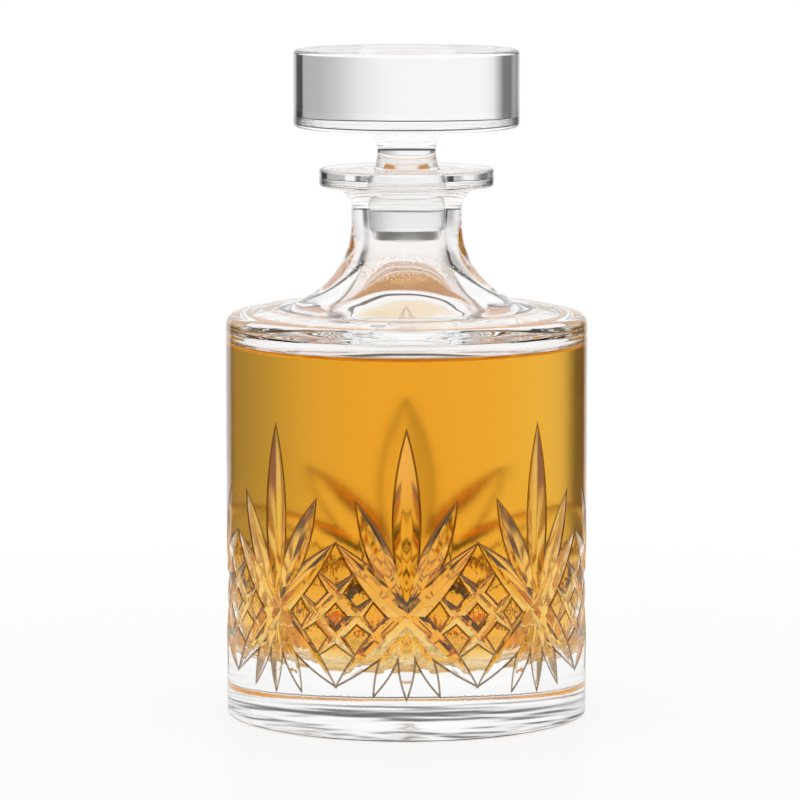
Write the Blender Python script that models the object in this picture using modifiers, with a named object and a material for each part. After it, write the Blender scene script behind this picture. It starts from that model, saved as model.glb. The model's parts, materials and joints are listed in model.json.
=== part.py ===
"""A squat cut-glass whiskey decanter with its ground-glass stopper, holding whiskey.

The bottle is one piece of glass: a thick clear base, a straight round wall, a low shoulder, a
short flared neck and a flat lip. Eight bursts of mitre cuts and eight hatched diamonds run round
its lower half. The stopper is one solid piece of glass that lifts straight out of the neck.

Metres, +Z up. The origin is the centre of the underside, and the middle burst faces -Y.
"""

import math

import bmesh
import bpy

# Driving dimensions of the bottle
BODY_RADIUS = 0.0520
WALL = 0.0045
BASE_THICKNESS = 0.0185
BASE_ROUND = 0.0021
FLOOR_ROUND = 0.0070
SHOULDER_TOP = 0.1175
SHOULDER_DROP = 0.0021
SHOULDER_CREST_RADIUS = 0.0412
SHOULDER_CREST_ROUND = 0.0120
SHOULDER_ROUND = 0.0033
INNER_SHOULDER_ROUND = 0.0050
NECK_HEIGHT = 0.0400
NECK_RADIUS = 0.01584
NECK_FLARE = 0.0242
INNER_NECK_FLARE = 0.0240
LIP_RADIUS = 0.0250
LIP_THICKNESS = 0.0051
LIP_UNDERCUT = 0.0007
LIP_ROUND = 0.0009
LIP_FILLET = 0.0069
MOUTH_ROUND = 0.0007

# Driving dimensions of the stopper, with heights taken from the mouth of the bottle
HEAD_RADIUS = 0.03235
HEAD_THICKNESS = 0.0223
HEAD_LIFT = 0.0117
HEAD_ROUND = 0.0014
STEM_RADIUS = 0.0084
STEM_HEAD_FILLET = 0.0068
STEM_WAIST_HEIGHT = 0.0012
STEM_WAIST_FILLET = 0.0117
PLUG_DROP = 0.0035
PLUG_RADIUS = 0.0113
PLUG_LENGTH = 0.0140
PLUG_TAPER = 0.0005
PLUG_ROUND = 0.0004
TIP_STEP = 0.0004
TIP_TAPER = 0.0008
TIP_LENGTH = 0.0034
TIP_ROUND = 0.0005

# Clearances: the least gap between two pieces, and how far the whiskey stays below the shoulder
GAP = 0.0003
HEADSPACE = 0.0039

# Driving dimensions of the cutting, with heights taken from the underside
BURSTS = 8
BURST_HEIGHT = 0.0357
DIAMOND_HALF_HEIGHT = 0.0203
CUT_SLOPE = 0.62
CUT_OVERRUN = 0.0010
DIAGONAL_HALF_WIDTH = 0.00375
TALL_LEAF_RISE = 0.0518
TALL_LEAF_HALF_WIDTH = 0.0037
SIDE_LEAF_RISE = 0.0318
SIDE_LEAF_REACH = 0.0142
SIDE_LEAF_HALF_WIDTH = 0.00315
FAN_DROP = 0.0230
FAN_HALF_WIDTH = 0.00225
FAN_SIDE_DROP = 0.0222
FAN_REACH = 0.0092
HATCH_OFFSET = 0.00425
HATCH_HALF_LENGTH = 0.0125
HATCH_HALF_WIDTH = 0.0018

# How far past the diamond's corners the diagonals run, as a share of their half length
DIAGONAL_RUN_ON_SHARE = 0.05

# How much wider and deeper the falling cuts are, which the wheel makes across the rising ones
FALLING_CUT_SHARE = 1.03

# How full a cut is along its length: 2 is a plain round wheel, and more is blunter
LEAF_FULLNESS = 2.0
DIAGONAL_FULLNESS = 2.6

# Fineness: facets round the axis, how far they are turned as a share of one facet so that no cut
# runs along an edge between two of them, the largest turn between two points of an arc, and the
# stretches of a long and a short cut
FACETS = 48
FACET_TURN_SHARE = 0.25
ARC_STEP = math.radians(18)
LONG_CUT_STRETCHES = 6
SHORT_CUT_STRETCHES = 4
MERGE_DISTANCE = 0.000001

# Edges that turn by more than this are shaded as corners
SHARP_ANGLE = math.radians(20)

# The heights and radii that follow from them
MOUTH_HEIGHT = SHOULDER_TOP + NECK_HEIGHT
INNER_RADIUS = BODY_RADIUS - WALL
PLUG_BOTTOM_RADIUS = PLUG_RADIUS - PLUG_TAPER
SEAT_SLOPE = PLUG_TAPER / PLUG_LENGTH
MOUTH_RADIUS = PLUG_RADIUS + GAP + SEAT_SLOPE * PLUG_DROP
SEAT_BOTTOM = MOUTH_HEIGHT - PLUG_DROP - PLUG_LENGTH
SEAT_RADIUS = PLUG_BOTTOM_RADIUS + GAP
INNER_EDGE_HEIGHT = SHOULDER_TOP - SHOULDER_DROP - WALL
WHISKEY_LEVEL = INNER_EDGE_HEIGHT - HEADSPACE
SECTOR = math.tau / BURSTS
HALF_SECTOR_REACH = BODY_RADIUS * SECTOR / 2
FACET_TURN = math.tau / FACETS * FACET_TURN_SHARE


def clear_scene():
    """Remove every object and collection that the scene starts with."""
    for item in list(bpy.data.objects):
        bpy.data.objects.remove(item, do_unlink=True)
    for item in list(bpy.data.collections):
        bpy.data.collections.remove(item)


def new_collection(name):
    """Make a collection in the scene."""
    collection = bpy.data.collections.new(name)
    bpy.context.scene.collection.children.link(collection)
    return collection


def new_material(name, color, roughness, transmission, ior):
    """Make a see-through Principled material."""
    material = bpy.data.materials.new(name)
    material.use_nodes = True
    shader = material.node_tree.nodes["Principled BSDF"]
    shader.inputs["Base Color"].default_value = (*color, 1.0)
    shader.inputs["Roughness"].default_value = roughness
    shader.inputs["Metallic"].default_value = 0.0
    shader.inputs["Transmission Weight"].default_value = transmission
    shader.inputs["IOR"].default_value = ior
    material.diffuse_color = (*color, 1.0)
    return material


def new_object(name, mesh, collection, material=None):
    """Put a mesh in a collection as an object."""
    item = bpy.data.objects.new(name, mesh)
    collection.objects.link(item)
    if material:
        mesh.materials.append(material)
    return item


def unit_way(start, end):
    """The direction from one corner to another, and the distance."""
    reach = math.dist(start[:2], end[:2])
    return ((end[0] - start[0]) / reach, (end[1] - start[1]) / reach), reach


def corner_opening(way_in, way_out):
    """The angle between the two stretches that leave a corner."""
    return math.acos(way_in[0] * way_out[0] + way_in[1] * way_out[1])


def rounded_outline(corners):
    """Turn (radius, height, round) corners into outline points, with an arc at each rounded one.

    Two arcs that have too little room on the stretch between them are both made smaller.
    """
    setbacks = []
    for i, corner in enumerate(corners):
        if not corner[2]:
            setbacks.append(0.0)
            continue
        way_in, room_in = unit_way(corner, corners[i - 1])
        way_out, room_out = unit_way(corner, corners[i + 1])
        setbacks.append(corner[2] / math.tan(corner_opening(way_in, way_out) / 2))

    points = []
    for i, corner in enumerate(corners):
        if not corner[2]:
            points.append(corner[:2])
            continue
        way_in, room_in = unit_way(corner, corners[i - 1])
        way_out, room_out = unit_way(corner, corners[i + 1])
        half_opening = corner_opening(way_in, way_out) / 2
        setback = min(
            setbacks[i],
            room_in * setbacks[i] / (setbacks[i] + setbacks[i - 1]),
            room_out * setbacks[i] / (setbacks[i] + setbacks[i + 1]),
        )
        arc_radius = setback * math.tan(half_opening)
        middle = (way_in[0] + way_out[0], way_in[1] + way_out[1])
        reach = arc_radius / math.sin(half_opening) / math.hypot(*middle)
        centre = (corner[0] + middle[0] * reach, corner[1] + middle[1] * reach)
        start = math.atan2(
            corner[1] + way_in[1] * setback - centre[1],
            corner[0] + way_in[0] * setback - centre[0],
        )
        side = way_in[0] * way_out[1] - way_in[1] * way_out[0]
        turn = math.copysign(math.pi - 2 * half_opening, -side)
        steps = max(2, math.ceil(abs(turn) / ARC_STEP))
        for step in range(steps + 1):
            angle = start + turn * step / steps
            points.append(
                (centre[0] + arc_radius * math.cos(angle), centre[1] + arc_radius * math.sin(angle))
            )
    return points


def turned_object(name, outline, collection, material=None):
    """Turn an outline of (radius, height) points round Z with a Screw modifier."""
    mesh = bpy.data.meshes.new(name)
    points = [(radius, 0.0, height) for radius, height in outline]
    edges = [(i, i + 1) for i in range(len(points) - 1)]
    mesh.from_pydata(points, edges, [])
    item = new_object(name, mesh, collection, material)
    item.rotation_euler.z = FACET_TURN
    screw = item.modifiers.new("Turn", "SCREW")
    screw.axis = "Z"
    screw.angle = math.tau
    screw.steps = FACETS
    screw.render_steps = FACETS
    screw.use_merge_vertices = True
    screw.merge_threshold = MERGE_DISTANCE
    return item


def settle(item):
    """Swap a piece's modifiers for the mesh that they make, smooth where it is round."""
    evaluated = item.evaluated_get(bpy.context.evaluated_depsgraph_get())
    mesh = bpy.data.meshes.new_from_object(evaluated)
    mesh.name = item.name
    mesh.shade_smooth()
    mesh.set_sharp_from_angle(angle=SHARP_ANGLE)
    item.modifiers.clear()
    item.data = mesh


def bottle_outline():
    """The bottle from the middle of its floor, up the inside, over the lip and down the outside."""
    inner_crest = SHOULDER_CREST_RADIUS - WALL
    inner_top = SHOULDER_TOP - WALL
    lip_under = MOUTH_HEIGHT - LIP_THICKNESS
    inside = [
        (0.0, BASE_THICKNESS, 0.0),
        (INNER_RADIUS, BASE_THICKNESS, FLOOR_ROUND),
        (INNER_RADIUS, INNER_EDGE_HEIGHT, INNER_SHOULDER_ROUND),
        (inner_crest, inner_top, 0.0),
        (SEAT_RADIUS, inner_top, INNER_NECK_FLARE),
        (SEAT_RADIUS, SEAT_BOTTOM, 0.0),
    ]
    outside = [
        (MOUTH_RADIUS, MOUTH_HEIGHT, MOUTH_ROUND),
        (LIP_RADIUS, MOUTH_HEIGHT, LIP_ROUND),
        (LIP_RADIUS, lip_under, LIP_ROUND),
        (NECK_RADIUS, lip_under - LIP_UNDERCUT, LIP_FILLET),
        (NECK_RADIUS, SHOULDER_TOP, NECK_FLARE),
        (SHOULDER_CREST_RADIUS, SHOULDER_TOP, SHOULDER_CREST_ROUND),
        (BODY_RADIUS, SHOULDER_TOP - SHOULDER_DROP, SHOULDER_ROUND),
        (BODY_RADIUS, 0.0, BASE_ROUND),
        (0.0, 0.0, 0.0),
    ]
    return rounded_outline(inside + outside)


def stopper_outline():
    """The stopper from the top of its head to its tip, with heights taken from the mouth."""
    head_top = HEAD_LIFT + HEAD_THICKNESS
    plug_bottom = -PLUG_DROP - PLUG_LENGTH
    tip_radius = PLUG_BOTTOM_RADIUS - TIP_STEP
    return rounded_outline(
        [
            (0.0, head_top, 0.0),
            (HEAD_RADIUS, head_top, HEAD_ROUND),
            (HEAD_RADIUS, HEAD_LIFT, HEAD_ROUND),
            (STEM_RADIUS, HEAD_LIFT, STEM_HEAD_FILLET),
            (STEM_RADIUS, STEM_WAIST_HEIGHT, STEM_WAIST_FILLET),
            (PLUG_RADIUS, -PLUG_DROP, PLUG_ROUND),
            (PLUG_BOTTOM_RADIUS, plug_bottom, 0.0),
            (tip_radius, plug_bottom, 0.0),
            (tip_radius - TIP_TAPER, plug_bottom - TIP_LENGTH, TIP_ROUND),
            (0.0, plug_bottom - TIP_LENGTH, 0.0),
        ]
    )


def whiskey_outline():
    """The whiskey, from the middle of its surface down to the middle of the floor."""
    radius = INNER_RADIUS - GAP
    floor = BASE_THICKNESS + GAP
    return rounded_outline(
        [
            (0.0, WHISKEY_LEVEL, 0.0),
            (radius, WHISKEY_LEVEL, 0.0),
            (radius, floor, FLOOR_ROUND - GAP),
            (0.0, floor, 0.0),
        ]
    )


def on_wall(along, height, radius):
    """A point at a distance round the outer wall from the middle burst, at a height and radius."""
    azimuth = along / BODY_RADIUS
    return (radius * math.sin(azimuth), -radius * math.cos(azimuth), height)


def make_cutter(name, collection, start, end, half_width, fullness, stretches):
    """Make the V-shaped, leaf-pointed body that one mitre cut takes out of the wall.

    start and end are (distance round the wall, height). The cut is deepest in its middle and
    runs out at both ends, as a V-edged wheel leaves it.
    """
    half_length = math.dist(start, end) / 2
    middle = ((start[0] + end[0]) / 2, (start[1] + end[1]) / 2)
    way = ((end[0] - start[0]) / 2 / half_length, (end[1] - start[1]) / 2 / half_length)
    across = (-way[1], way[0])
    body = bmesh.new()
    rings = []
    for i in range(stretches + 1):
        place = 2 * i / stretches - 1
        along = middle[0] + way[0] * half_length * place
        height = middle[1] + way[1] * half_length * place
        depth = CUT_SLOPE * half_width * (1 - abs(place) ** fullness)
        reach = (depth + CUT_OVERRUN) / CUT_SLOPE
        top = BODY_RADIUS + CUT_OVERRUN
        section = [
            on_wall(along, height, BODY_RADIUS - depth),
            on_wall(along + across[0] * reach, height + across[1] * reach, top),
            on_wall(along - across[0] * reach, height - across[1] * reach, top),
        ]
        rings.append([body.verts.new(point) for point in section])
    for near, far in zip(rings, rings[1:]):
        for i in range(3):
            j = (i + 1) % 3
            body.faces.new((near[i], near[j], far[j], far[i]))
    body.faces.new(rings[0])
    body.faces.new(rings[-1])
    bmesh.ops.triangulate(body, faces=body.faces)
    bmesh.ops.recalc_face_normals(body, faces=body.faces)
    mesh = bpy.data.meshes.new(name)
    body.to_mesh(mesh)
    body.free()
    cutter = new_object(name, mesh, collection)
    cutter.hide_render = True
    cutter.display_type = "WIRE"
    return cutter


def burst_cutters(collection):
    """The cuts of the middle burst and of the diamond to its right."""
    cutters = []

    def leaf(name, start, end, half_width):
        cutters.append(
            make_cutter(
                name, collection, start, end, half_width, LEAF_FULLNESS, SHORT_CUT_STRETCHES
            )
        )

    centre = (0.0, BURST_HEIGHT)
    leaf("tall_leaf", centre, (0.0, BURST_HEIGHT + TALL_LEAF_RISE), TALL_LEAF_HALF_WIDTH)
    leaf("middle_fan", centre, (0.0, BURST_HEIGHT - FAN_DROP), FAN_HALF_WIDTH)
    for side, word in ((1, "right"), (-1, "left")):
        leaf_end = (side * SIDE_LEAF_REACH, BURST_HEIGHT + SIDE_LEAF_RISE)
        leaf(f"{word}_leaf", centre, leaf_end, SIDE_LEAF_HALF_WIDTH)
        fan_end = (side * FAN_REACH, BURST_HEIGHT - FAN_SIDE_DROP)
        leaf(f"{word}_fan", centre, fan_end, FAN_HALF_WIDTH)

    # The two diagonals, which meet those of the next burst at the diamond's corners
    run_on = 1 + DIAGONAL_RUN_ON_SHARE
    reach = HALF_SECTOR_REACH * run_on
    rise = DIAMOND_HALF_HEIGHT * run_on
    for side, word, share in ((1, "rising", 1.0), (-1, "falling", FALLING_CUT_SHARE)):
        start = (-reach, BURST_HEIGHT - side * rise)
        end = (reach, BURST_HEIGHT + side * rise)
        cutters.append(
            make_cutter(
                f"{word}_diagonal",
                collection,
                start,
                end,
                DIAGONAL_HALF_WIDTH * share,
                DIAGONAL_FULLNESS,
                LONG_CUT_STRETCHES,
            )
        )

    # The hatching inside the diamond: two cuts each way, parallel to its sides
    side_length = math.hypot(HALF_SECTOR_REACH, DIAMOND_HALF_HEIGHT)
    way = (HALF_SECTOR_REACH / side_length, DIAMOND_HALF_HEIGHT / side_length)
    for lean, word, share in ((1, "rising", 1.0), (-1, "falling", FALLING_CUT_SHARE)):
        for offset, place in ((HATCH_OFFSET, "upper"), (-HATCH_OFFSET, "lower")):
            middle = (HALF_SECTOR_REACH - lean * way[1] * offset, BURST_HEIGHT + way[0] * offset)
            run = (way[0] * HATCH_HALF_LENGTH, lean * way[1] * HATCH_HALF_LENGTH)
            start = (middle[0] - run[0], middle[1] - run[1])
            end = (middle[0] + run[0], middle[1] + run[1])
            leaf(f"{place}_{word}_hatch", start, end, HATCH_HALF_WIDTH * share)
    return cutters


def make_bottle(collection, cutter_collection, material):
    """Turn the bottle, and cut every burst and diamond into its wall."""
    for cutter in burst_cutters(cutter_collection):
        for burst in range(1, BURSTS):
            repeat = new_object(f"{cutter.name}_{burst}", cutter.data, cutter_collection)
            repeat.rotation_euler.z = burst * SECTOR
            repeat.hide_render = True
            repeat.display_type = "WIRE"
    bottle = turned_object("bottle", bottle_outline(), collection, material)
    cut = bottle.modifiers.new("Cutting", "BOOLEAN")
    cut.operation = "DIFFERENCE"
    cut.solver = "EXACT"
    cut.operand_type = "COLLECTION"
    cut.collection = cutter_collection
    settle(bottle)


def make_stopper(collection, material):
    """Make the stopper, with its origin on the axis it lifts along, at the mouth's height."""
    stopper = turned_object("stopper", stopper_outline(), collection, material)
    stopper.location = (0.0, 0.0, MOUTH_HEIGHT)
    settle(stopper)


def make_whiskey(collection, material):
    """Make the whiskey that fills the bottle to just below its shoulder."""
    whiskey = turned_object("whiskey", whiskey_outline(), collection, material)
    settle(whiskey)


def main():
    """Build the decanter."""
    clear_scene()
    pieces = new_collection("decanter")
    cutters = new_collection("cutters")
    clear_glass = new_material("clear_glass", (0.96, 0.97, 0.97), 0.02, 1.0, 1.52)
    stopper_glass = new_material("stopper_glass", (0.96, 0.97, 0.97), 0.04, 1.0, 1.52)
    amber = new_material("amber_whiskey", (0.90, 0.48, 0.06), 0.0, 0.9, 1.36)
    make_bottle(pieces, cutters, clear_glass)
    make_stopper(pieces, stopper_glass)
    make_whiskey(pieces, amber)


main()
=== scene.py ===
# %% [markdown]
# A cut-glass whiskey decanter.
# The decanter has three pieces: a bottle that is turned and then cut with a wheel, a solid glass
# stopper that lifts straight out of its neck, and the whiskey inside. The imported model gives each
# piece its place and its body. This lesson models the glass again, finely enough for light to
# bend through it as it should, and lights it as a photographer lights glass.

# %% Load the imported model
import json
import math
import bmesh
import bpy
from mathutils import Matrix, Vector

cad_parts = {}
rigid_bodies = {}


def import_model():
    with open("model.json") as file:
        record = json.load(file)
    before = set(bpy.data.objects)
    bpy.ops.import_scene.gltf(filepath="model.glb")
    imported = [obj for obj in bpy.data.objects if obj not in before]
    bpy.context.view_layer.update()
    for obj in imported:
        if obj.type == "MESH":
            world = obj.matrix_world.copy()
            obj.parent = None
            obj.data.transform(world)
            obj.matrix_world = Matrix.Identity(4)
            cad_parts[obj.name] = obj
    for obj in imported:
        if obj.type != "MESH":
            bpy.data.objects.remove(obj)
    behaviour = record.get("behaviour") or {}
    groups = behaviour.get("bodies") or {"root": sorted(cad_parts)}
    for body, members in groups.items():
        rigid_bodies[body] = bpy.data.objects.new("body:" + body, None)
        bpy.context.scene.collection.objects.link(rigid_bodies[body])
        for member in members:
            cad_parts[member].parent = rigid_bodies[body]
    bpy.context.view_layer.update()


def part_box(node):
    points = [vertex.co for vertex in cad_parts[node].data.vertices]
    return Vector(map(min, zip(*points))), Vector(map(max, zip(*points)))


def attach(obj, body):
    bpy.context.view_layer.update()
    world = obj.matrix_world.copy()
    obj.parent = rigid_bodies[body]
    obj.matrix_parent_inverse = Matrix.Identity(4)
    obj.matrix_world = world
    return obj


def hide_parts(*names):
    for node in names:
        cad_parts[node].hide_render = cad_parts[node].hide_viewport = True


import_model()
_, bottle_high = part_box("bottle")
stopper_low, stopper_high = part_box("stopper")
_, whiskey_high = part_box("whiskey")
print("bottle stands", round(bottle_high.z * 1000, 1), "mm high")

# %% [markdown]
# Sizes. The outer radius, the mouth, the whiskey's level and the stopper's ends come from the
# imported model, so that the fine pieces take up the same space. The rest is read off the photo, or
# guessed where it doesn't show, as for the wall and the gap round the plug. All in metres.

# %% Sizes of the glass
BODY_RADIUS = bottle_high.x
MOUTH_HEIGHT = bottle_high.z
WHISKEY_LEVEL = whiskey_high.z
STOPPER_TOP = stopper_high.z
STOPPER_TIP = stopper_low.z

WALL = 0.0045
INNER_RADIUS = BODY_RADIUS - WALL
BASE_THICKNESS = 0.0185
NECK_HEIGHT = 0.0400
SHOULDER_TOP = MOUTH_HEIGHT - NECK_HEIGHT

PLUG_RADIUS = 0.0113
PLUG_TAPER = 0.0005
PLUG_DROP = 0.0035
TIP_LENGTH = 0.0034
PLUG_BOTTOM = STOPPER_TIP + TIP_LENGTH
PLUG_BOTTOM_RADIUS = PLUG_RADIUS - PLUG_TAPER
GAP = 0.0003
SEAT_RADIUS = PLUG_BOTTOM_RADIUS + GAP
SEAT_SLOPE = PLUG_TAPER / (MOUTH_HEIGHT - PLUG_DROP - PLUG_BOTTOM)
MOUTH_RADIUS = PLUG_RADIUS + GAP + SEAT_SLOPE * PLUG_DROP
print("outer radius", round(BODY_RADIUS * 1000, 2), "mm, wall", WALL * 1000, "mm")

# %% [markdown]
# Small helpers. An operator acts on everything that is selected, so a step that works on a few
# vertices first selects nothing and then picks them by their place.

# %% Selecting by place
NEAR = 0.00001


def select_nothing():
    """Leave edit mode and deselect every object."""
    if bpy.context.object and bpy.context.object.mode != "OBJECT":
        bpy.ops.object.mode_set(mode="OBJECT")
    bpy.ops.object.select_all(action="DESELECT")


def select_only(item):
    """Make one object the selected and active one."""
    select_nothing()
    item.select_set(True)
    bpy.context.view_layer.objects.active = item


def select_vertices(item, test):
    """In edit mode, select the vertices whose place passes the test."""
    shape = bmesh.from_edit_mesh(item.data)
    for part in (*shape.faces, *shape.edges, *shape.verts):
        part.select = False
    for vertex in shape.verts:
        if test(vertex.co):
            vertex.select = True
    shape.select_flush_mode()
    bmesh.update_edit_mesh(item.data)


def is_at(place):
    """A test for a vertex that lies at a place."""
    return lambda co: (co - place).length < NEAR


print("vertices within", NEAR * 1000, "mm of a place count as lying there")

# %% [markdown]
# Turned glass. Bottles, lips and stoppers are round, so each is one outline spun round Z. The
# outline could be typed point by point, but then a round would be a table of numbers. Instead it is
# a list of corners, each with the radius that rounds it, as on a maker's drawing: one vertex is
# extruded from corner to corner, and a vertex bevel rounds each corner. A bevel is given its
# setback, which is the distance from the corner to where its round starts.

# %% Drawing an outline
from mathutils import Vector

ARC_STEP = math.radians(7.5)
START_SIZE = 0.001


def corner_setback(corner, before, after):
    """How far from a corner its round starts, and the angle that the outline turns by there."""
    way_in = (Vector(before[:2]) - Vector(corner[:2])).normalized()
    way_out = (Vector(after[:2]) - Vector(corner[:2])).normalized()
    opening = way_in.angle(way_out)
    return corner[2] / math.tan(opening / 2), math.pi - opening


def draw_outline(name, corners):
    """Draw a wire in the XZ plane through (radius, height, round) corners."""
    select_nothing()
    radius, height, _ = corners[0]
    bpy.ops.mesh.primitive_plane_add(size=START_SIZE, location=(radius, 0, height))
    item = bpy.context.object
    item.name = name
    item.data.name = name
    bpy.ops.object.transform_apply()
    bpy.ops.object.mode_set(mode="EDIT")
    bpy.ops.mesh.merge(type="CENTER")
    for here, there in zip(corners, corners[1:]):
        step = (there[0] - here[0], 0, there[1] - here[1])
        bpy.ops.mesh.extrude_vertices_move(TRANSFORM_OT_translate={"value": step})
    for before, corner, after in zip(corners, corners[1:], corners[2:]):
        if not corner[2]:
            continue
        setback, turn = corner_setback(corner, before, after)
        select_vertices(item, is_at(Vector((corner[0], 0, corner[1]))))
        bpy.ops.mesh.bevel(
            offset_type="OFFSET",
            offset=setback,
            segments=max(2, math.ceil(turn / ARC_STEP)),
            affect="VERTICES",
            clamp_overlap=False,
        )
    bpy.ops.object.mode_set(mode="OBJECT")
    return item


print("rounds turn by at most", round(math.degrees(ARC_STEP), 1), "degrees in each step")

# %% [markdown]
# Spin. Turning the wire in one go would work, but it is slow with so many steps. So a narrow wedge
# is spun first, and a second spin then repeats the wedge round the axis. The ends of the wire lie
# on the axis, so merging doubles closes both poles.

# %% Spinning an outline
AROUND = 384
WEDGES = 24


def spin_outline(item):
    """Spin a wire round Z into a closed body, and point its faces outwards."""
    wedge = math.tau / WEDGES
    select_only(item)
    bpy.ops.object.mode_set(mode="EDIT")
    bpy.ops.mesh.select_all(action="SELECT")
    bpy.ops.mesh.spin(
        steps=AROUND // WEDGES,
        angle=wedge,
        center=(0, 0, 0),
        axis=(0, 0, 1),
        use_auto_merge=False,
    )
    bpy.ops.mesh.select_all(action="SELECT")
    bpy.ops.mesh.spin(
        dupli=True,
        steps=WEDGES - 1,
        angle=math.tau - wedge,
        center=(0, 0, 0),
        axis=(0, 0, 1),
        use_auto_merge=False,
    )
    bpy.ops.mesh.select_all(action="SELECT")
    bpy.ops.mesh.remove_doubles(threshold=NEAR / 10)
    bpy.ops.mesh.normals_make_consistent(inside=False)
    bpy.ops.object.mode_set(mode="OBJECT")
    print(item.name, "has", len(item.data.polygons), "faces")


print("a full turn has", AROUND, "steps in", WEDGES, "wedges")

# %% [markdown]
# The bottle. One outline goes from the middle of the floor inside, up the inner wall, round under
# the shoulder, up the bore, over the lip and down the outside to the middle of the underside. The
# foot is ground flat, with a shallow dish in the middle, which is a guess, since the photo doesn't
# show the underside. The dish is so shallow that its rounds need a very large radius.

# %% The turned bottle
FLOOR_ROUND = 0.0070
INNER_SHOULDER_ROUND = 0.0050
BORE_FLARE_ROUND = 0.0240
MOUTH_ROUND = 0.0007
LIP_RADIUS = 0.0250
LIP_THICKNESS = 0.0051
LIP_ROUND = 0.0009
LIP_UNDERCUT = 0.0007
NECK_RADIUS = 0.01584
NECK_TOP_ROUND = 0.0069
NECK_FLARE_ROUND = 0.0242
SHOULDER_CREST = 0.0412
SHOULDER_CREST_ROUND = 0.0120
SHOULDER_DROP = 0.0021
SHOULDER_ROUND = 0.0033
HEEL_ROUND = 0.0010
DISH_RADIUS = 0.0220
DISH_CROWN_RADIUS = 0.0070
DISH_DEPTH = 0.00047
DISH_ROUND = 0.1500

bottle = draw_outline(
    "bottle_glass",
    [
        (0, BASE_THICKNESS, 0),
        (INNER_RADIUS, BASE_THICKNESS, FLOOR_ROUND),
        (INNER_RADIUS, SHOULDER_TOP - SHOULDER_DROP - WALL, INNER_SHOULDER_ROUND),
        (SHOULDER_CREST - WALL, SHOULDER_TOP - WALL, 0),
        (SEAT_RADIUS, SHOULDER_TOP - WALL, BORE_FLARE_ROUND),
        (SEAT_RADIUS, PLUG_BOTTOM, 0),
        (MOUTH_RADIUS, MOUTH_HEIGHT, MOUTH_ROUND),
        (LIP_RADIUS, MOUTH_HEIGHT, LIP_ROUND),
        (LIP_RADIUS, MOUTH_HEIGHT - LIP_THICKNESS, LIP_ROUND),
        (NECK_RADIUS, MOUTH_HEIGHT - LIP_THICKNESS - LIP_UNDERCUT, NECK_TOP_ROUND),
        (NECK_RADIUS, SHOULDER_TOP, NECK_FLARE_ROUND),
        (SHOULDER_CREST, SHOULDER_TOP, SHOULDER_CREST_ROUND),
        (BODY_RADIUS, SHOULDER_TOP - SHOULDER_DROP, SHOULDER_ROUND),
        (BODY_RADIUS, 0, HEEL_ROUND),
        (DISH_RADIUS, 0, DISH_ROUND),
        (DISH_CROWN_RADIUS, DISH_DEPTH, DISH_ROUND),
        (0, DISH_DEPTH, 0),
    ],
)
spin_outline(bottle)

# %% [markdown]
# The cuts. A glass cutter presses the wall against a wheel with a V-shaped edge. The wheel leaves
# a groove with two flanks that is deepest in its middle and runs out to a point at each end. So
# each cutter here is such a wheel: a round fan whose centre is pulled out to a cone gives one
# flank. The wall is laid out flat at first, with X along it and Y into the glass. Where the wheel
# travels along the glass, the two halves of its rim are moved apart.

# %% One flank of a cutting wheel
CUT_STRETCHES = 22


def add_flank(name, run_length, depth, travel, slope):
    """Add a cone whose rim sinks to a depth and comes up again at both ends of the run."""
    half_chord = run_length / 2 - travel
    wheel_radius = (half_chord**2 + depth**2) / (2 * depth)
    half_turn = math.asin(half_chord / wheel_radius)
    hub = Vector((0, depth - wheel_radius, 0))
    select_nothing()
    bpy.ops.mesh.primitive_circle_add(
        vertices=2 * round(math.pi / (2 * half_turn / CUT_STRETCHES)),
        radius=wheel_radius,
        fill_type="TRIFAN",
        location=hub,
    )
    cut = bpy.context.object
    cut.name = name
    bpy.ops.object.transform_apply()

    bpy.ops.object.mode_set(mode="EDIT")
    select_vertices(cut, is_at(hub))
    bpy.ops.transform.translate(value=(0, 0, wheel_radius / slope))
    if travel:
        for side in (1, -1):
            select_vertices(cut, lambda co: co.z < NEAR and side * co.x > NEAR)
            bpy.ops.transform.translate(value=(side * travel, 0, 0))
    bpy.ops.object.mode_set(mode="OBJECT")
    return cut


print("the rim of a wheel has", CUT_STRETCHES, "stretches inside the glass")

# %% [markdown]
# From flank to wheel. Bisect scores the flank along the wall's surface and, where it will be
# hollowed, into strips. The Mirror modifier adds the other flank. Then all but the rim is cut away.
# The rim keeps a little that stands out of the glass, because a cutter that ended in the wall's own
# surface would leave the Boolean nothing clear to decide by.

# %% Trim the wheel to its rim
OVERRUN_WIDTH = 0.0016
FLANK_STRIPS = 5


def trim_wheel(cut, slope, strips):
    """Score a flank into strips, mirror it, and keep the rim that goes into the glass."""
    bpy.ops.object.mode_set(mode="EDIT")
    scores = [(0, -1, 0)]
    for strip in range(1, strips):
        scores.append((0, strip, slope * (strip - strips)))
    for score in scores:
        bpy.ops.mesh.select_all(action="SELECT")
        bpy.ops.mesh.bisect(plane_co=(0, 0, 0), plane_no=score)
    bpy.ops.object.mode_set(mode="OBJECT")
    mirror = cut.modifiers.new("Other flank", "MIRROR")
    mirror.use_axis = (False, False, True)
    mirror.merge_threshold = NEAR / 10
    bpy.ops.object.modifier_apply(modifier=mirror.name)

    bpy.ops.object.mode_set(mode="EDIT")
    bpy.ops.mesh.select_all(action="SELECT")
    bpy.ops.mesh.bisect(
        plane_co=(0, -slope * OVERRUN_WIDTH, 0),
        plane_no=(0, -1, 0),
        use_fill=True,
        clear_outer=True,
    )
    bpy.ops.mesh.select_all(action="SELECT")
    bpy.ops.mesh.quads_convert_to_tris()
    bpy.ops.mesh.normals_make_consistent(inside=False)
    bpy.ops.object.mode_set(mode="OBJECT")


print("a cutter is", OVERRUN_WIDTH * 1000, "mm wider on each side than its cut")

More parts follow.
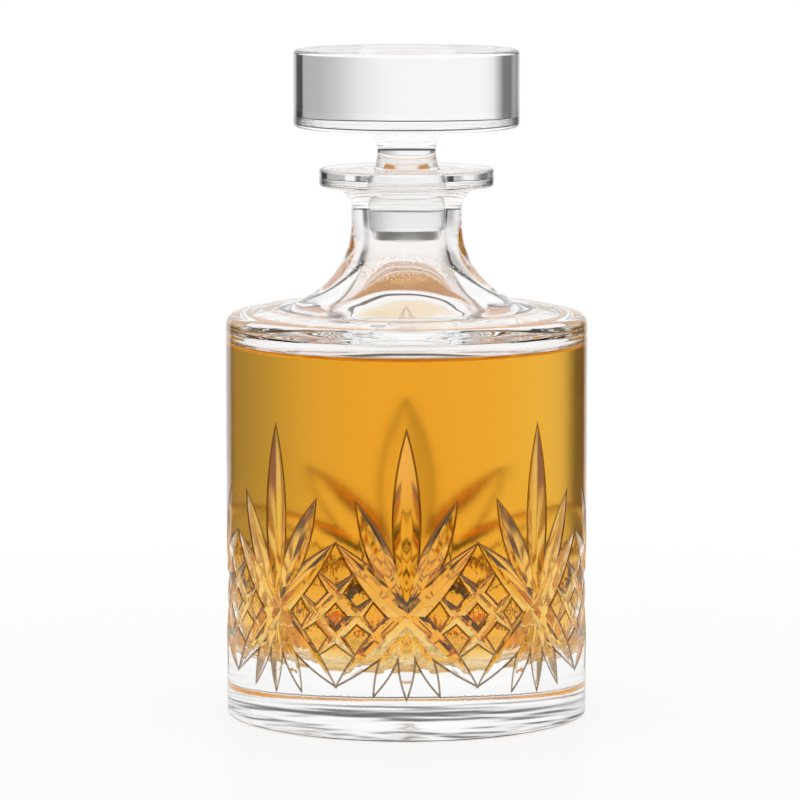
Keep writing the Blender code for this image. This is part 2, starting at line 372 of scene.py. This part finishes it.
# %% [markdown]
# Round the wall. A polished flank is slightly hollow, so what it shows changes from its edge to
# its valley. And a cut follows the round wall, so the flat wheel has to be rolled round the axis. The
# Bend operator needs a window, and both steps are only a little geometry, so they move the vertices
# in code.

# %% Hollow a wheel and roll it round the wall
cut_collection = bpy.data.collections.new("cuts")
bpy.context.scene.collection.children.link(cut_collection)


def roll_wheel(cut, middle, run, slope, hollow):
    """Hollow the flanks, turn the cut to the direction of its run, and roll it round the wall."""
    lean = math.atan2(run.y, run.x)
    for vertex in cut.data.vertices:
        flat = vertex.co.copy()
        if flat.y > 0:
            from_valley = slope * abs(flat.z)
            share = from_valley / (flat.y + from_valley)
            flat.y *= 1 + hollow * share
        along = middle.x + flat.x * math.cos(lean) - flat.z * math.sin(lean)
        height = middle.y + flat.x * math.sin(lean) + flat.z * math.cos(lean)
        azimuth = along / BODY_RADIUS
        radius = BODY_RADIUS - flat.y
        vertex.co = (radius * math.sin(azimuth), -radius * math.cos(azimuth), height)
    for old in list(cut.users_collection):
        old.objects.unlink(cut)
    cut_collection.objects.link(cut)


print("cutters are kept in", cut_collection.name)

# %% [markdown]
# Eased edges. A fresh cut has sharp edges, and the acid bath that polishes it eases them. The eased
# edge bends light aside, which draws a fine dark line round each leaf, and the eased edge's glass
# adds a painted shade to that line. So every cut is made with two wheels: a deep one, and a blunt
# one that reaches a hair wider and longer and shaves the edge.

# %% One cut with eased edges
CUT_SLOPE = 0.62
FLANK_HOLLOW = 0.4
EASE_SLOPE = 0.17
EASE_WIDTH = 0.00045


def make_wheel(name, middle, run, half_width, travel, slope, hollow):
    """Make the wheel that cuts along a run, (along the wall, height), about its middle."""
    cut = add_flank(name, run.length, slope * half_width, travel, slope)
    trim_wheel(cut, slope, FLANK_STRIPS if hollow else 1)
    roll_wheel(cut, middle, run, slope, hollow)


def make_cut(name, start, end, half_width, travel=0.0):
    """Cut from start to end, each (along the wall, height), and ease the edges of the cut."""
    run = Vector(end) - Vector(start)
    middle = (Vector(start) + Vector(end)) / 2
    make_wheel(name, middle, run, half_width, travel, CUT_SLOPE, FLANK_HOLLOW)
    longer = math.sqrt(1 + EASE_WIDTH / half_width)
    eased_length = (run.length - 2 * travel) * longer + 2 * travel
    eased_run = run.normalized() * eased_length
    make_wheel(f"{name}_ease", middle, eased_run, half_width + EASE_WIDTH, travel, EASE_SLOPE, 0)


print("an eased edge is", EASE_WIDTH * 1000, "mm wide")

# %% [markdown]
# The pattern. Eight bursts stand round the wall. Each has one tall upright leaf, a shorter leaf on
# either side, three small cuts that fan out below, and two long diagonals that cross in its
# centre. The diagonals of two neighbours close a diamond, which is hatched with two cuts each
# way. Cuts that fall to the right are a little wider and deeper, as if the wheel came back over
# the first set.

# %% Sizes of the pattern
BURSTS = 8
BURST_HEIGHT = 0.0357
SECTOR = math.tau / BURSTS
HALF_PITCH = BODY_RADIUS * SECTOR / 2
DIAMOND_HALF_HEIGHT = 0.0203
DIAGONAL_HALF_WIDTH = 0.00375
DIAGONAL_TRAVEL = 0.0034
DIAGONAL_SHARE = 0.98
FALLING_CUT_SHARE = 1.03
HATCH_OFFSET = 0.00425
HATCH_HALF_LENGTH = 0.0125
HATCH_HALF_WIDTH = 0.0018

TALL_LEAF = {"reach": 0.0, "rise": 0.0518, "half_width": 0.0037}
SIDE_LEAF = {"reach": 0.0142, "rise": 0.0318, "half_width": 0.00315}
MIDDLE_FAN = {"reach": 0.0, "rise": -0.0230, "half_width": 0.00225}
SIDE_FAN = {"reach": 0.0092, "rise": -0.0222, "half_width": 0.00225}
print("bursts stand", round(HALF_PITCH * 2000, 1), "mm apart along the wall")

# %% [markdown]
# One burst. Leaves and fans run from its centre to a tip. The diagonals run through it, and stop
# just short of the diamond's corners, where the diagonals of the next burst take over.


# %% The cuts of one burst and of the diamond to its right
def cut_leaf(name, reach, rise, half_width):
    """Cut a leaf from the burst's centre to a tip that lies to one side and above or below."""
    make_cut(name, (0, BURST_HEIGHT), (reach, BURST_HEIGHT + rise), half_width)


def cut_burst():
    """Make the cutters of the middle burst and of the diamond to its right."""
    cut_leaf("tall_leaf", **TALL_LEAF)
    cut_leaf("middle_fan", **MIDDLE_FAN)
    for side, word in ((1, "right"), (-1, "left")):
        for sort, leaf in (("leaf", SIDE_LEAF), ("fan", SIDE_FAN)):
            cut_leaf(f"{word}_{sort}", **{**leaf, "reach": side * leaf["reach"]})

    reach, rise = HALF_PITCH * DIAGONAL_SHARE, DIAMOND_HALF_HEIGHT * DIAGONAL_SHARE
    side_way = Vector((HALF_PITCH, DIAMOND_HALF_HEIGHT)).normalized()
    for lean, word, share in ((1, "rising", 1), (-1, "falling", FALLING_CUT_SHARE)):
        start = (-reach, BURST_HEIGHT - lean * rise)
        end = (reach, BURST_HEIGHT + lean * rise)
        make_cut(f"{word}_diagonal", start, end, DIAGONAL_HALF_WIDTH * share, DIAGONAL_TRAVEL)
        for offset, place in ((HATCH_OFFSET, "upper"), (-HATCH_OFFSET, "lower")):
            across = Vector((-lean * side_way.y, side_way.x)) * offset
            along = Vector((side_way.x, lean * side_way.y)) * HATCH_HALF_LENGTH
            middle = Vector((HALF_PITCH, BURST_HEIGHT)) + across
            hatch_width = HATCH_HALF_WIDTH * share
            make_cut(f"{place}_{word}_hatch", middle - along, middle + along, hatch_width)


cut_burst()

# %% [markdown]
# Eight bursts. Each cutter is copied seven times round the axis, each copy with its own mesh, and
# one Boolean takes all of them out of the wall at once.

# %% Cut the whole pattern
for cut in list(cut_collection.objects):
    for burst in range(1, BURSTS):
        repeat = cut.copy()
        repeat.data = cut.data.copy()
        repeat.rotation_euler.z = burst * SECTOR
        cut_collection.objects.link(repeat)
bpy.context.view_layer.update()

select_only(bottle)
cutting = bottle.modifiers.new("Cutting", "BOOLEAN")
cutting.operation = "DIFFERENCE"
cutting.solver = "MANIFOLD"
cutting.operand_type = "COLLECTION"
cutting.collection = cut_collection
bpy.ops.object.modifier_apply(modifier=cutting.name)
for cut in list(cut_collection.objects):
    bpy.data.objects.remove(cut)
bpy.data.collections.remove(cut_collection)
print("bottle has", len(bottle.data.polygons), "faces after cutting")

# %% [markdown]
# The stopper. It is one solid piece: a thick round head, a waisted stem and a ground plug that
# seats in the bore. It is drawn and spun the same way.

# %% The stopper
HEAD_RADIUS = 0.03235
HEAD_THICKNESS = 0.0223
HEAD_ROUND = 0.0014
HEAD_BOTTOM = STOPPER_TOP - HEAD_THICKNESS
STEM_RADIUS = 0.0084
STEM_TOP_ROUND = 0.0068
STEM_WAIST_HEIGHT = MOUTH_HEIGHT + 0.0012
STEM_WAIST_ROUND = 0.0117
PLUG_ROUND = 0.0004
TIP_STEP = 0.0004
TIP_TAPER = 0.0008
TIP_ROUND = 0.0005
TIP_RADIUS = PLUG_BOTTOM_RADIUS - TIP_STEP

stopper = draw_outline(
    "stopper_glass",
    [
        (0, STOPPER_TOP, 0),
        (HEAD_RADIUS, STOPPER_TOP, HEAD_ROUND),
        (HEAD_RADIUS, HEAD_BOTTOM, HEAD_ROUND),
        (STEM_RADIUS, HEAD_BOTTOM, STEM_TOP_ROUND),
        (STEM_RADIUS, STEM_WAIST_HEIGHT, STEM_WAIST_ROUND),
        (PLUG_RADIUS, MOUTH_HEIGHT - PLUG_DROP, PLUG_ROUND),
        (PLUG_BOTTOM_RADIUS, PLUG_BOTTOM, 0),
        (TIP_RADIUS, PLUG_BOTTOM, 0),
        (TIP_RADIUS - TIP_TAPER, STOPPER_TIP, TIP_ROUND),
        (0, STOPPER_TIP, 0),
    ],
)
spin_outline(stopper)

# %% [markdown]
# The whiskey. It wets the glass, so its skin is sunk a hair into the wall: a film of air between
# the two would look like a mirror. At the wall the surface climbs in a small meniscus, which
# mirrors the depth below it and draws a dark line along the top of the whiskey.

# %% The whiskey
SUNK = 0.00015
MENISCUS_RISE = 0.0010
MENISCUS_DIP = 0.0004
MENISCUS_WIDTH = 0.0026
MENISCUS_ROUND = 0.0060
WALL_TURN_START = 0.0002
wet_radius = INNER_RADIUS + SUNK
wet_floor = BASE_THICKNESS - SUNK
wet_top = WHISKEY_LEVEL + MENISCUS_RISE

whiskey = draw_outline(
    "whiskey_fill",
    [
        (0, WHISKEY_LEVEL - MENISCUS_DIP, 0),
        (wet_radius - MENISCUS_WIDTH, WHISKEY_LEVEL - MENISCUS_DIP, MENISCUS_ROUND),
        (INNER_RADIUS, wet_top, 0),
        (wet_radius, WHISKEY_LEVEL - WALL_TURN_START, 0),
        (wet_radius, wet_floor, FLOOR_ROUND + SUNK),
        (0, wet_floor, 0),
    ],
)
spin_outline(whiskey)

# %% [markdown]
# Smooth shading. Round glass needs smooth normals and cut edges need sharp ones. Where two faces
# turn by more than 18 degrees their edge stays sharp, and Weighted Normal lets large faces rule
# where they meet small ones, so that flat and straight glass shows no false bend beside its rounds.

# %% Shade the pieces
SHARP_ANGLE = math.radians(18)
for piece in (bottle, stopper, whiskey):
    select_only(piece)
    bpy.ops.object.shade_smooth_by_angle(angle=SHARP_ANGLE)
    weighted = piece.modifiers.new("Weighted normals", "WEIGHTED_NORMAL")
    weighted.keep_sharp = True
    bpy.ops.object.modifier_apply(modifier=weighted.name)
    print(piece.name, "sharp edges:", sum(edge.use_edge_sharp for edge in piece.data.edges))

# %% [markdown]
# Shader maths. A material's numbers are sockets joined by Math nodes. This small class wraps a
# socket, so that an expression such as 1 - mask * 0.5 adds those nodes by itself.


# %% Arithmetic on sockets
class Value:
    """A socket that Python's arithmetic works on."""

    def __init__(self, finish, socket):
        self.finish = finish
        self.socket = socket

    def math(self, operation, *others):
        node = self.finish.node("ShaderNodeMath", {"operation": operation}, [self, *others])
        return Value(self.finish, node.outputs[0])

    def within_one(self):
        """The value kept between 0 and 1."""
        return self.math("MINIMUM", 1).math("MAXIMUM", 0)

    def __add__(self, other):
        return self.math("ADD", other)

    def __sub__(self, other):
        return self.math("SUBTRACT", other)

    def __mul__(self, other):
        return self.math("MULTIPLY", other)

    def __truediv__(self, other):
        return self.math("DIVIDE", other)

    def __rsub__(self, other):
        return (self * -1) + other

    __radd__ = __add__
    __rmul__ = __mul__


print("helper:", Value.__name__)

# %% [markdown]
# Nodes. One method makes every kind of node: it takes the type, the settings, which are made
# first because they can change the sockets, and then the values or links of the sockets.


# %% A tree of nodes
class Finish:
    """The node tree of a material or of the world."""

    def __init__(self, tree):
        self.tree = tree
        tree.nodes.clear()

    def node(self, kind, settings=None, inputs=()):
        """Add a node, make its settings, and then set or link its sockets by name or by place."""
        made = self.tree.nodes.new(kind)
        for name, setting in (settings or {}).items():
            setattr(made, name, setting)
        pairs = inputs.items() if isinstance(inputs, dict) else enumerate(inputs)
        for key, given in pairs:
            if isinstance(given, Value):
                self.tree.links.new(given.socket, made.inputs[key])
            elif isinstance(given, bpy.types.NodeSocket):
                self.tree.links.new(given, made.inputs[key])
            else:
                made.inputs[key].default_value = given
        return made

    def value(self, socket):
        return Value(self, socket)

    def ramp(self, factor, stops):
        """A Color Ramp of (place, brightness) stops, read as a number."""
        made = self.node("ShaderNodeValToRGB", {}, [factor])
        elements = made.color_ramp.elements
        while len(elements) < len(stops):
            elements.new(0.5)
        for element, (place, shade) in zip(elements, stops):
            element.position = place
            element.color = (shade, shade, shade, 1)
        return self.value(made.outputs[0])


def new_finish(name):
    """A new material and its empty node tree."""
    material = bpy.data.materials.new(name)
    material.use_nodes = True
    return material, Finish(material.node_tree)


trial, trial_finish = new_finish("trial")
mask = trial_finish.value(trial_finish.node("ShaderNodeTexNoise").outputs[0])
rest = 1 - mask * 0.5
print("1 - mask * 0.5 makes", len(trial.node_tree.nodes) - 1, "nodes, the last a", rest.socket.node.name)
bpy.data.materials.remove(trial)

# %% [markdown]
# What all glass here shares. Object coordinates stay with the piece when it moves. A noise makes
# the slight unevenness of the polish, a Bump node turns it into a tilt of the surface, and a fully
# transmissive Principled shader bends the light.


# %% Parts of a glass finish
def object_place(finish):
    """The place on the piece, as a socket and as its three coordinates."""
    place = finish.node("ShaderNodeTexCoord").outputs["Object"]
    parts = finish.node("ShaderNodeSeparateXYZ", {}, [place]).outputs
    return place, [finish.value(part) for part in parts]


def add_noise(finish, place, scale, detail):
    """A noise between 0 and 1, with so many features to the metre."""
    inputs = {"Vector": place, "Scale": scale, "Detail": detail}
    return finish.value(finish.node("ShaderNodeTexNoise", {}, inputs).outputs[0])


def add_bump(finish, height, strength, distance, under=None):
    """The normal of a surface with these heights, over another bump if one is given."""
    inputs = {"Strength": strength, "Distance": distance, "Height": height}
    if under:
        inputs["Normal"] = under
    return finish.node("ShaderNodeBump", {}, inputs).outputs[0]


def add_glass(finish, tint_or_painted_shade, roughness, bend, normal=None):
    """A clear surface that bends light by a ratio."""
    inputs = {"Base Color": tint_or_painted_shade, "Roughness": roughness, "IOR": bend, "Transmission Weight": 1.0}
    if normal:
        inputs["Normal"] = normal
    return finish.node("ShaderNodeBsdfPrincipled", {}, inputs).outputs[0]


print("helpers:", object_place.__name__, add_noise.__name__, add_bump.__name__, add_glass.__name__)

# %% [markdown]
# The bottle's glass. Light bends by 1.52 where it goes in from the air. Where whiskey wets the
# wall, what counts is the ratio of the glass to the whiskey, 1.52 to 1.36. That wall is also given
# a blur that grows with height, because the pattern on the far side looks softer the higher it is.
# A bend has to be one number for a whole material, so the bottle has several materials.
#
# The polish isn't perfect. The wall waves a little, the shoulder and neck more, and a stipple
# roughens the glass inside the hatched diamonds. The foot is ground matt, and its waves are the
# strongest. Low in the neck sit fine drops: the domes round the points of a Voronoi texture.

# %% Sizes of the bottle's finish
GLASS_IOR = 1.52
WHISKEY_IOR = 1.36
GLASS_TINT = (0.996, 0.998, 0.998, 1)

WET_ROUGHNESS = 0.06
SOFT_ROUGHNESS = 0.21
SOFT_HEIGHT = 0.034
SOFT_FADE = 0.034

FOOT_TOP = 0.0010
FOOT_FADE = 0.0004
FOOT_ROUGHNESS = 0.10
FOOT_WAVE = 8
WAVE_SCALE = 60
SHOULDER_WAVE = 2.5
SHOULDER_WAVE_FADE = 0.004
STIPPLE_SCALE = 330
STIPPLE_SHARE = 1.4
HATCHED_SHARE = 0.9
HATCHED_EDGE = 12
POLISH_BUMP = 0.15
POLISH_DISTANCE = 0.0004

DROP_SCALE = 1600
DROP_SIZE = 0.36
DROP_HEIGHT = 0.1270
DROP_SPREAD = 0.0035
DROP_DISTANCE = 0.0005
print("drops sit", round(DROP_HEIGHT * 1000, 1), "mm up")

# %% [markdown]
# One function makes each of the bottle's glasses. It reads the height above the table for the
# foot, the blur, the shoulder and the drops. For the diamonds it also reads the direction from the
# axis: beside is 0 in the middle of a diamond and 1 at the burst next to it.


# %% The bottle's glass
def make_glass(name, bend, roughness, soft_above=0.0, tint_or_painted_shade=GLASS_TINT, drops=0.0):
    """Polished glass that bends light by the ratio given, and may blur it high up or carry drops."""
    material, finish = new_finish(name)
    place, (across, depth, height) = object_place(finish)
    worn = ((FOOT_TOP - height) / FOOT_FADE).within_one()
    soft = ((height - SOFT_HEIGHT) / SOFT_FADE).within_one()

    wave = add_noise(finish, place, WAVE_SCALE, 1)
    shoulder = ((height - WHISKEY_LEVEL) / SHOULDER_WAVE_FADE).within_one()
    stipple = add_noise(finish, place, STIPPLE_SCALE, 2)
    sector = across.math("ARCTAN2", depth * -1) / SECTOR
    beside = (sector.math("FRACT") - 0.5).math("ABSOLUTE") * 2
    above = (height - BURST_HEIGHT).math("ABSOLUTE") / DIAMOND_HALF_HEIGHT
    hatched = ((HATCHED_SHARE - beside - above) * HATCHED_EDGE).within_one()
    waves = wave * (1 + shoulder * SHOULDER_WAVE + worn * FOOT_WAVE)
    relief = waves + stipple * hatched * STIPPLE_SHARE
    normal = add_bump(finish, relief, POLISH_BUMP, POLISH_DISTANCE)

    if drops:
        cells = finish.node("ShaderNodeTexVoronoi", {}, {"Vector": place, "Scale": DROP_SCALE})
        dome = (DROP_SIZE - finish.value(cells.outputs["Distance"])).math("MAXIMUM", 0)
        band = 1 - ((height - DROP_HEIGHT) / DROP_SPREAD).math("ABSOLUTE")
        domes = dome * band.math("MAXIMUM", 0)
        normal = add_bump(finish, domes, drops, DROP_DISTANCE, normal)

    blur = worn * FOOT_ROUGHNESS + soft * soft_above + roughness
    glass = add_glass(finish, tint_or_painted_shade, blur, bend, normal)
    finish.node("ShaderNodeOutputMaterial", {}, {"Surface": glass})
    return material


print("helper:", make_glass.__name__)

# %% [markdown]
# Four glasses. Clear glass is the outside and all that is dry. Wet glass is the wall behind the
# whiskey. The shaded edge glass is the thin line that was eased: it looks dark because it sends light
# aside, more than so small a bevel can here, so it also takes a dark amber colour, which is painted
# shade. Misted glass is the inside of the neck and shoulder, with the drops.

# %% The bottle's four glasses
# The eased edge's dark amber colour is painted shade, standing in for light that the edge sends aside.
PAINTED_EDGE_SHADE = (0.11, 0.065, 0.032, 1)
EDGE_ROUGHNESS = 0.05
DROP_STRENGTH = 0.5

clear_glass = make_glass("clear_glass", GLASS_IOR, 0.0)
wet_glass = make_glass("wet_glass", GLASS_IOR / WHISKEY_IOR, WET_ROUGHNESS, SOFT_ROUGHNESS)
shaded_edge_glass = make_glass("shaded_edge_glass", GLASS_IOR, EDGE_ROUGHNESS, tint_or_painted_shade=PAINTED_EDGE_SHADE)
misted_glass = make_glass("misted_glass", GLASS_IOR, 0.0, drops=DROP_STRENGTH)
bottle_finishes = (clear_glass, wet_glass, shaded_edge_glass, misted_glass)
for glass in bottle_finishes:
    print(glass.name, "has", len(glass.node_tree.nodes), "nodes")

# %% [markdown]
# Stopper glass. The head and stem are polished, and the plug is ground with grit until it fits
# the bore, which leaves it matt. Roughness and grain rise below the plug's shoulder.

# %% Stopper glass
GROUND_ROUGHNESS = 0.14
GROUND_TOP = MOUTH_HEIGHT - PLUG_DROP
GROUND_FADE = 0.0006
GRAIN_SCALE = 900
GRAIN_SHARE = 0.5
HEAD_WAVE_SCALE = 70
STOPPER_BUMP = 0.2
STOPPER_DISTANCE = 0.0002


def make_stopper_glass():
    """Polished glass with a ground plug."""
    material, finish = new_finish("stopper_glass")
    place, (_, _, height) = object_place(finish)
    ground = ((GROUND_TOP - height) / GROUND_FADE).within_one()
    grain = add_noise(finish, place, GRAIN_SCALE, 2)
    wave = add_noise(finish, place, HEAD_WAVE_SCALE, 1)
    relief = grain * ground * GRAIN_SHARE + wave
    normal = add_bump(finish, relief, STOPPER_BUMP, STOPPER_DISTANCE)
    glass = add_glass(finish, GLASS_TINT, ground * GROUND_ROUGHNESS, GLASS_IOR, normal)
    finish.node("ShaderNodeOutputMaterial", {}, {"Surface": glass})
    return material


stopper_glass = make_stopper_glass()
print(stopper_glass.name, "has", len(stopper_glass.node_tree.nodes), "nodes")

# %% [markdown]
# Whiskey. Its colour isn't on its surface: it soaks up blue, and some green, on the way through.
# So the surface is clear and a Volume Absorption node colours the depth. The skin is of two kinds.
# Against the glass it lets light straight on, because the wet wall has bent it already. On top,
# against the air, it bends light by the whiskey's own ratio. One material holds both kinds, since
# Blender tells volumes apart by their material, and a ray that came in by one and left by the other
# would stay coloured for ever. The top is told from the side by its height and its tilt, and the
# tilt is taken without its sign, which flips when a ray meets the top from below.

# %% Whiskey
SOAK_DENSITY = 40
WHISKEY_COLOR = (0.98, 0.7625, 0.025, 1)
TOP_TILT = 0.3
TOP_START = WHISKEY_LEVEL - 2 * MENISCUS_DIP


def make_whiskey():
    """A clear skin round a liquid that absorbs."""
    material, finish = new_finish("amber_whiskey")
    skins = [add_glass(finish, (1, 1, 1, 1), 0.0, bend) for bend in (1.0, WHISKEY_IOR)]
    facing = finish.node("ShaderNodeTexCoord").outputs["Normal"]
    tilt = finish.value(finish.node("ShaderNodeSeparateXYZ", {}, [facing]).outputs[2])
    _, (_, _, height) = object_place(finish)
    level = tilt.math("ABSOLUTE").math("GREATER_THAN", TOP_TILT)
    high = height.math("GREATER_THAN", TOP_START)
    skin = finish.node("ShaderNodeMixShader", {}, [level * high, *skins])
    soak_inputs = {"Color": WHISKEY_COLOR, "Density": SOAK_DENSITY}
    soak = finish.node("ShaderNodeVolumeAbsorption", {}, soak_inputs)
    ends = {"Surface": skin.outputs[0], "Volume": soak.outputs[0]}
    finish.node("ShaderNodeOutputMaterial", {}, ends)
    return material


amber_whiskey = make_whiskey()
print(amber_whiskey.name, "has", len(amber_whiskey.node_tree.nodes), "nodes")

# %% [markdown]
# Each fine piece stands for its node of the imported model, rides on that node's body, and takes its
# finishes.

# %% Dress the frame
for piece, node, body, slot, materials in (
    (bottle, "bottle", "bottle", "clear_glass", bottle_finishes),
    (whiskey, "whiskey", "bottle", "amber_whiskey", (amber_whiskey,)),
    (stopper, "stopper", "stopper", "stopper_glass", (stopper_glass,)),
):
    piece.data.materials.clear()
    for material in materials:
        piece.data.materials.append(material)
    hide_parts(node)
    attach(piece, body)
    print(piece.name, "rides on", body)

# %% [markdown]
# Each face of the bottle takes one of the four glasses. Its height says whether whiskey reaches
# it, and the lowest faces are the foot, which is dry all over. Its distance from the axis tells the
# inner wall from the outer one. Above the whiskey, the faces that look inwards are the misted
# ones. An eased edge lies close to the outer surface and is only slightly tilted from it.

# %% Give each face of the bottle its glass
EASED_TILTS = (math.radians(3), math.radians(14))
EASED_DEPTH = 0.0006
FOOT_HEIGHT = BASE_THICKNESS / 4
INWARD = -0.1
CLEAR, WET, EDGE, MISTED = range(4)


def face_glass(face):
    """The number of the glass that a face of the bottle takes."""
    radial = Vector((face.center.x, face.center.y, 0))
    tilt = face.normal.angle(radial, 0)
    if face.center.z > wet_top:
        return MISTED if math.cos(tilt) < INWARD else CLEAR
    if face.center.z <= FOOT_HEIGHT:
        return CLEAR
    if radial.length < INNER_RADIUS + NEAR:
        return WET
    eased = EASED_TILTS[0] < tilt < EASED_TILTS[1]
    return EDGE if eased and radial.length > BODY_RADIUS - EASED_DEPTH else CLEAR


counts = [0, 0, 0, 0]
for face in bottle.data.polygons:
    face.material_index = face_glass(face)
    counts[face.material_index] += 1
print("bottle faces that are clear, wet, eased and misted:", counts)

# %% [markdown]
# The floor. It is a plain disc under the decanter, wide enough for its shadow. It isn't part of the
# object, so it rides on nothing.

# %% The floor's disc
FLOOR_RADIUS = 0.36
FLOOR_SIDES = 96

select_nothing()
bpy.ops.mesh.primitive_circle_add(vertices=FLOOR_SIDES, radius=FLOOR_RADIUS, fill_type="NGON")
floor = bpy.context.object
floor.name = "floor"
print("floor is", round(FLOOR_RADIUS * 2000), "mm across")

# %% [markdown]
# The floor is pale and slightly glossy. Most of its brightness towards the camera and the glass is
# plain white, and the rest is lit, which keeps the decanter's shadow. Under the foot the white share
# is smaller, because little light gets there. The disc thins out to nothing at its edge, so that
# the edge doesn't show, and the glass sees the studio past it.

# %% The floor's finish
FLOOR_FADE_START = 0.20
FLOOR_WHITE_SHARE = 0.8
FLOOR_SHADED_SHARE = 0.3
FLOOR_SHADE_RADIUS = 0.040
FLOOR_SHADE_WIDTH = 0.011

floor_material, finish = new_finish("pale_floor")
floor_paint = {"Base Color": (0.9, 0.9, 0.9, 1), "Roughness": 0.3, "IOR": 1.3}
lit = finish.node("ShaderNodeBsdfPrincipled", {}, floor_paint)
white = finish.node("ShaderNodeEmission", {}, {"Color": (1, 1, 1, 1), "Strength": 1})
path = finish.node("ShaderNodeLightPath").outputs
seen = finish.value(path["Is Camera Ray"])
seen = seen.math("MAXIMUM", finish.value(path["Is Glossy Ray"]))
seen = seen.math("MAXIMUM", finish.value(path["Is Transmission Ray"]))

place, _ = object_place(finish)
reach = finish.value(finish.node("ShaderNodeVectorMath", {"operation": "LENGTH"}, [place]).outputs[1])
open_floor = ((reach - FLOOR_SHADE_RADIUS) / FLOOR_SHADE_WIDTH).within_one()
share = FLOOR_SHADED_SHARE + open_floor * (FLOOR_WHITE_SHARE - FLOOR_SHADED_SHARE)
pale = finish.node("ShaderNodeMixShader", {}, [seen * share, lit.outputs[0], white.outputs[0]])
thin = ((reach - FLOOR_FADE_START) / (FLOOR_RADIUS - FLOOR_FADE_START)).within_one()
clear = finish.node("ShaderNodeBsdfTransparent")
surface = finish.node("ShaderNodeMixShader", {}, [thin, pale.outputs[0], clear.outputs[0]])
finish.node("ShaderNodeOutputMaterial", {}, {"Surface": surface.outputs[0]})
floor.data.materials.append(floor_material)
print(floor_material.name, "has", len(floor_material.node_tree.nodes), "nodes")

# %% [markdown]
# The studio. Glass shows little but what stands round it, so the light is a room and not a lamp.
# Round the table, in degrees from the middle of the back, light that comes through the glass finds
# a white sheet behind, softer on the right, a dark gap at each side that draws the edges, and dim
# light from the front. Light that the surface mirrors finds black cards, with a bright opening
# only behind. Up and down, there is a dark band just above eye level, which draws the dark lines
# in the shoulder and the neck, and white light from above and below.

# %% Brightness round the studio
AMBIENT = 1.0
FRONT = 0.34
CARD = 0.03
BACKDROP_STOPS = [
    (-180, FRONT),
    (-115, FRONT),
    (-85, 0.40),
    (-63, 0.45),
    (-58, 0.18),
    (-48, 0.20),
    (-38, 0.90),
    (-30, 1.0),
    (5, 0.98),
    (15, 0.87),
    (28, 0.60),
    (40, 0.49),
    (57, 0.50),
    (59, 0.03),
    (73, 0.03),
    (85, 0.40),
    (115, FRONT),
    (180, FRONT),
]
CARD_STOPS = [(-180, CARD), (-32, CARD), (-24, 0.95), (18, 0.90), (26, CARD), (180, CARD)]
CLIMB_STOPS = [(-90, 1.0), (0, 1.0), (2, 0.07), (90, 0.07)]
STEEP_STOPS = [(-90, 1.0), (-18, 1.0), (-9.5, 0.0), (8, 0.0), (11, 1.0), (90, 1.0)]
print("the backdrop has", len(BACKDROP_STOPS), "stops")

# %% [markdown]
# The world's direction picks the brightness from ramps over the turn round the table and over the
# climb. Blender calls refracted rays glossy too, so a mirrored ray is one that is glossy and isn't
# passed on. All this is only for rays that the decanter bends or mirrors. The camera itself sees
# plain white, and so does what is lit.

# %% The studio
world = bpy.data.worlds.new("studio")
bpy.context.scene.world = world
world.use_nodes = True
finish = Finish(world.node_tree)
way = finish.node("ShaderNodeTexCoord").outputs["Generated"]
parts = finish.node("ShaderNodeSeparateXYZ", {}, [way]).outputs
turn = finish.value(parts[0]).math("ARCTAN2", finish.value(parts[1])) / math.tau + 0.5
climb = finish.value(parts[2]) * 0.5 + 0.5


def turn_ramp(stops):
    """A ramp over the turn round the table, with its stops in degrees."""
    return finish.ramp(turn, [(degrees / 360 + 0.5, shade) for degrees, shade in stops])


def climb_ramp(stops):
    """A ramp over how steeply a ray climbs, with its stops in degrees."""
    heights = [(math.sin(math.radians(degrees)) / 2 + 0.5, shade) for degrees, shade in stops]
    return finish.ramp(climb, heights)


path = finish.node("ShaderNodeLightPath").outputs
passed = finish.value(path["Is Transmission Ray"])
mirrored = finish.value(path["Is Glossy Ray"]) * (1 - passed)
behind = climb_ramp(CLIMB_STOPS) * turn_ramp(BACKDROP_STOPS)
walls = mirrored * turn_ramp(CARD_STOPS) + (1 - mirrored) * behind
steep = climb_ramp(STEEP_STOPS)
room = steep + (1 - steep) * walls
color = finish.node(
    "ShaderNodeMix",
    {"data_type": "RGBA"},
    {0: mirrored + passed, 6: (AMBIENT, AMBIENT, AMBIENT, 1), 7: room},
)
light = finish.node("ShaderNodeBackground", {}, {"Color": color.outputs[2], "Strength": 1})
finish.node("ShaderNodeOutputWorld", {}, {"Surface": light.outputs[0]})
print("the studio has", len(world.node_tree.nodes), "nodes")

# %% [markdown]
# The camera. A long lens stands a little above the table and looks slightly down, so the rims show
# as thin ellipses. Light crosses many surfaces on its way through cut glass, so it is followed for
# more bounces than usual.

# %% The camera
SENSOR = 36
LENS = 220.5
CAMERA_DISTANCE = 1.4013
CAMERA_HEIGHT = 0.2591
CAMERA_TILT = math.radians(6.86)
CAMERA_SHIFT = -0.00825
BOUNCES = 32
MIRROR_BOUNCES = 12

select_nothing()
bpy.ops.object.camera_add(
    location=(0, -CAMERA_DISTANCE, CAMERA_HEIGHT),
    rotation=(math.pi / 2 - CAMERA_TILT, 0, 0),
)
camera = bpy.context.object
camera.name = "camera"
camera.data.sensor_width = SENSOR
camera.data.lens = LENS
camera.data.shift_x = CAMERA_SHIFT
bpy.context.scene.camera = camera
bpy.context.scene.view_settings.view_transform = "Standard"
bpy.context.scene.cycles.max_bounces = BOUNCES
bpy.context.scene.cycles.transmission_bounces = BOUNCES
bpy.context.scene.cycles.glossy_bounces = MIRROR_BOUNCES
print("camera looks down by", round(math.degrees(CAMERA_TILT), 2), "degrees")
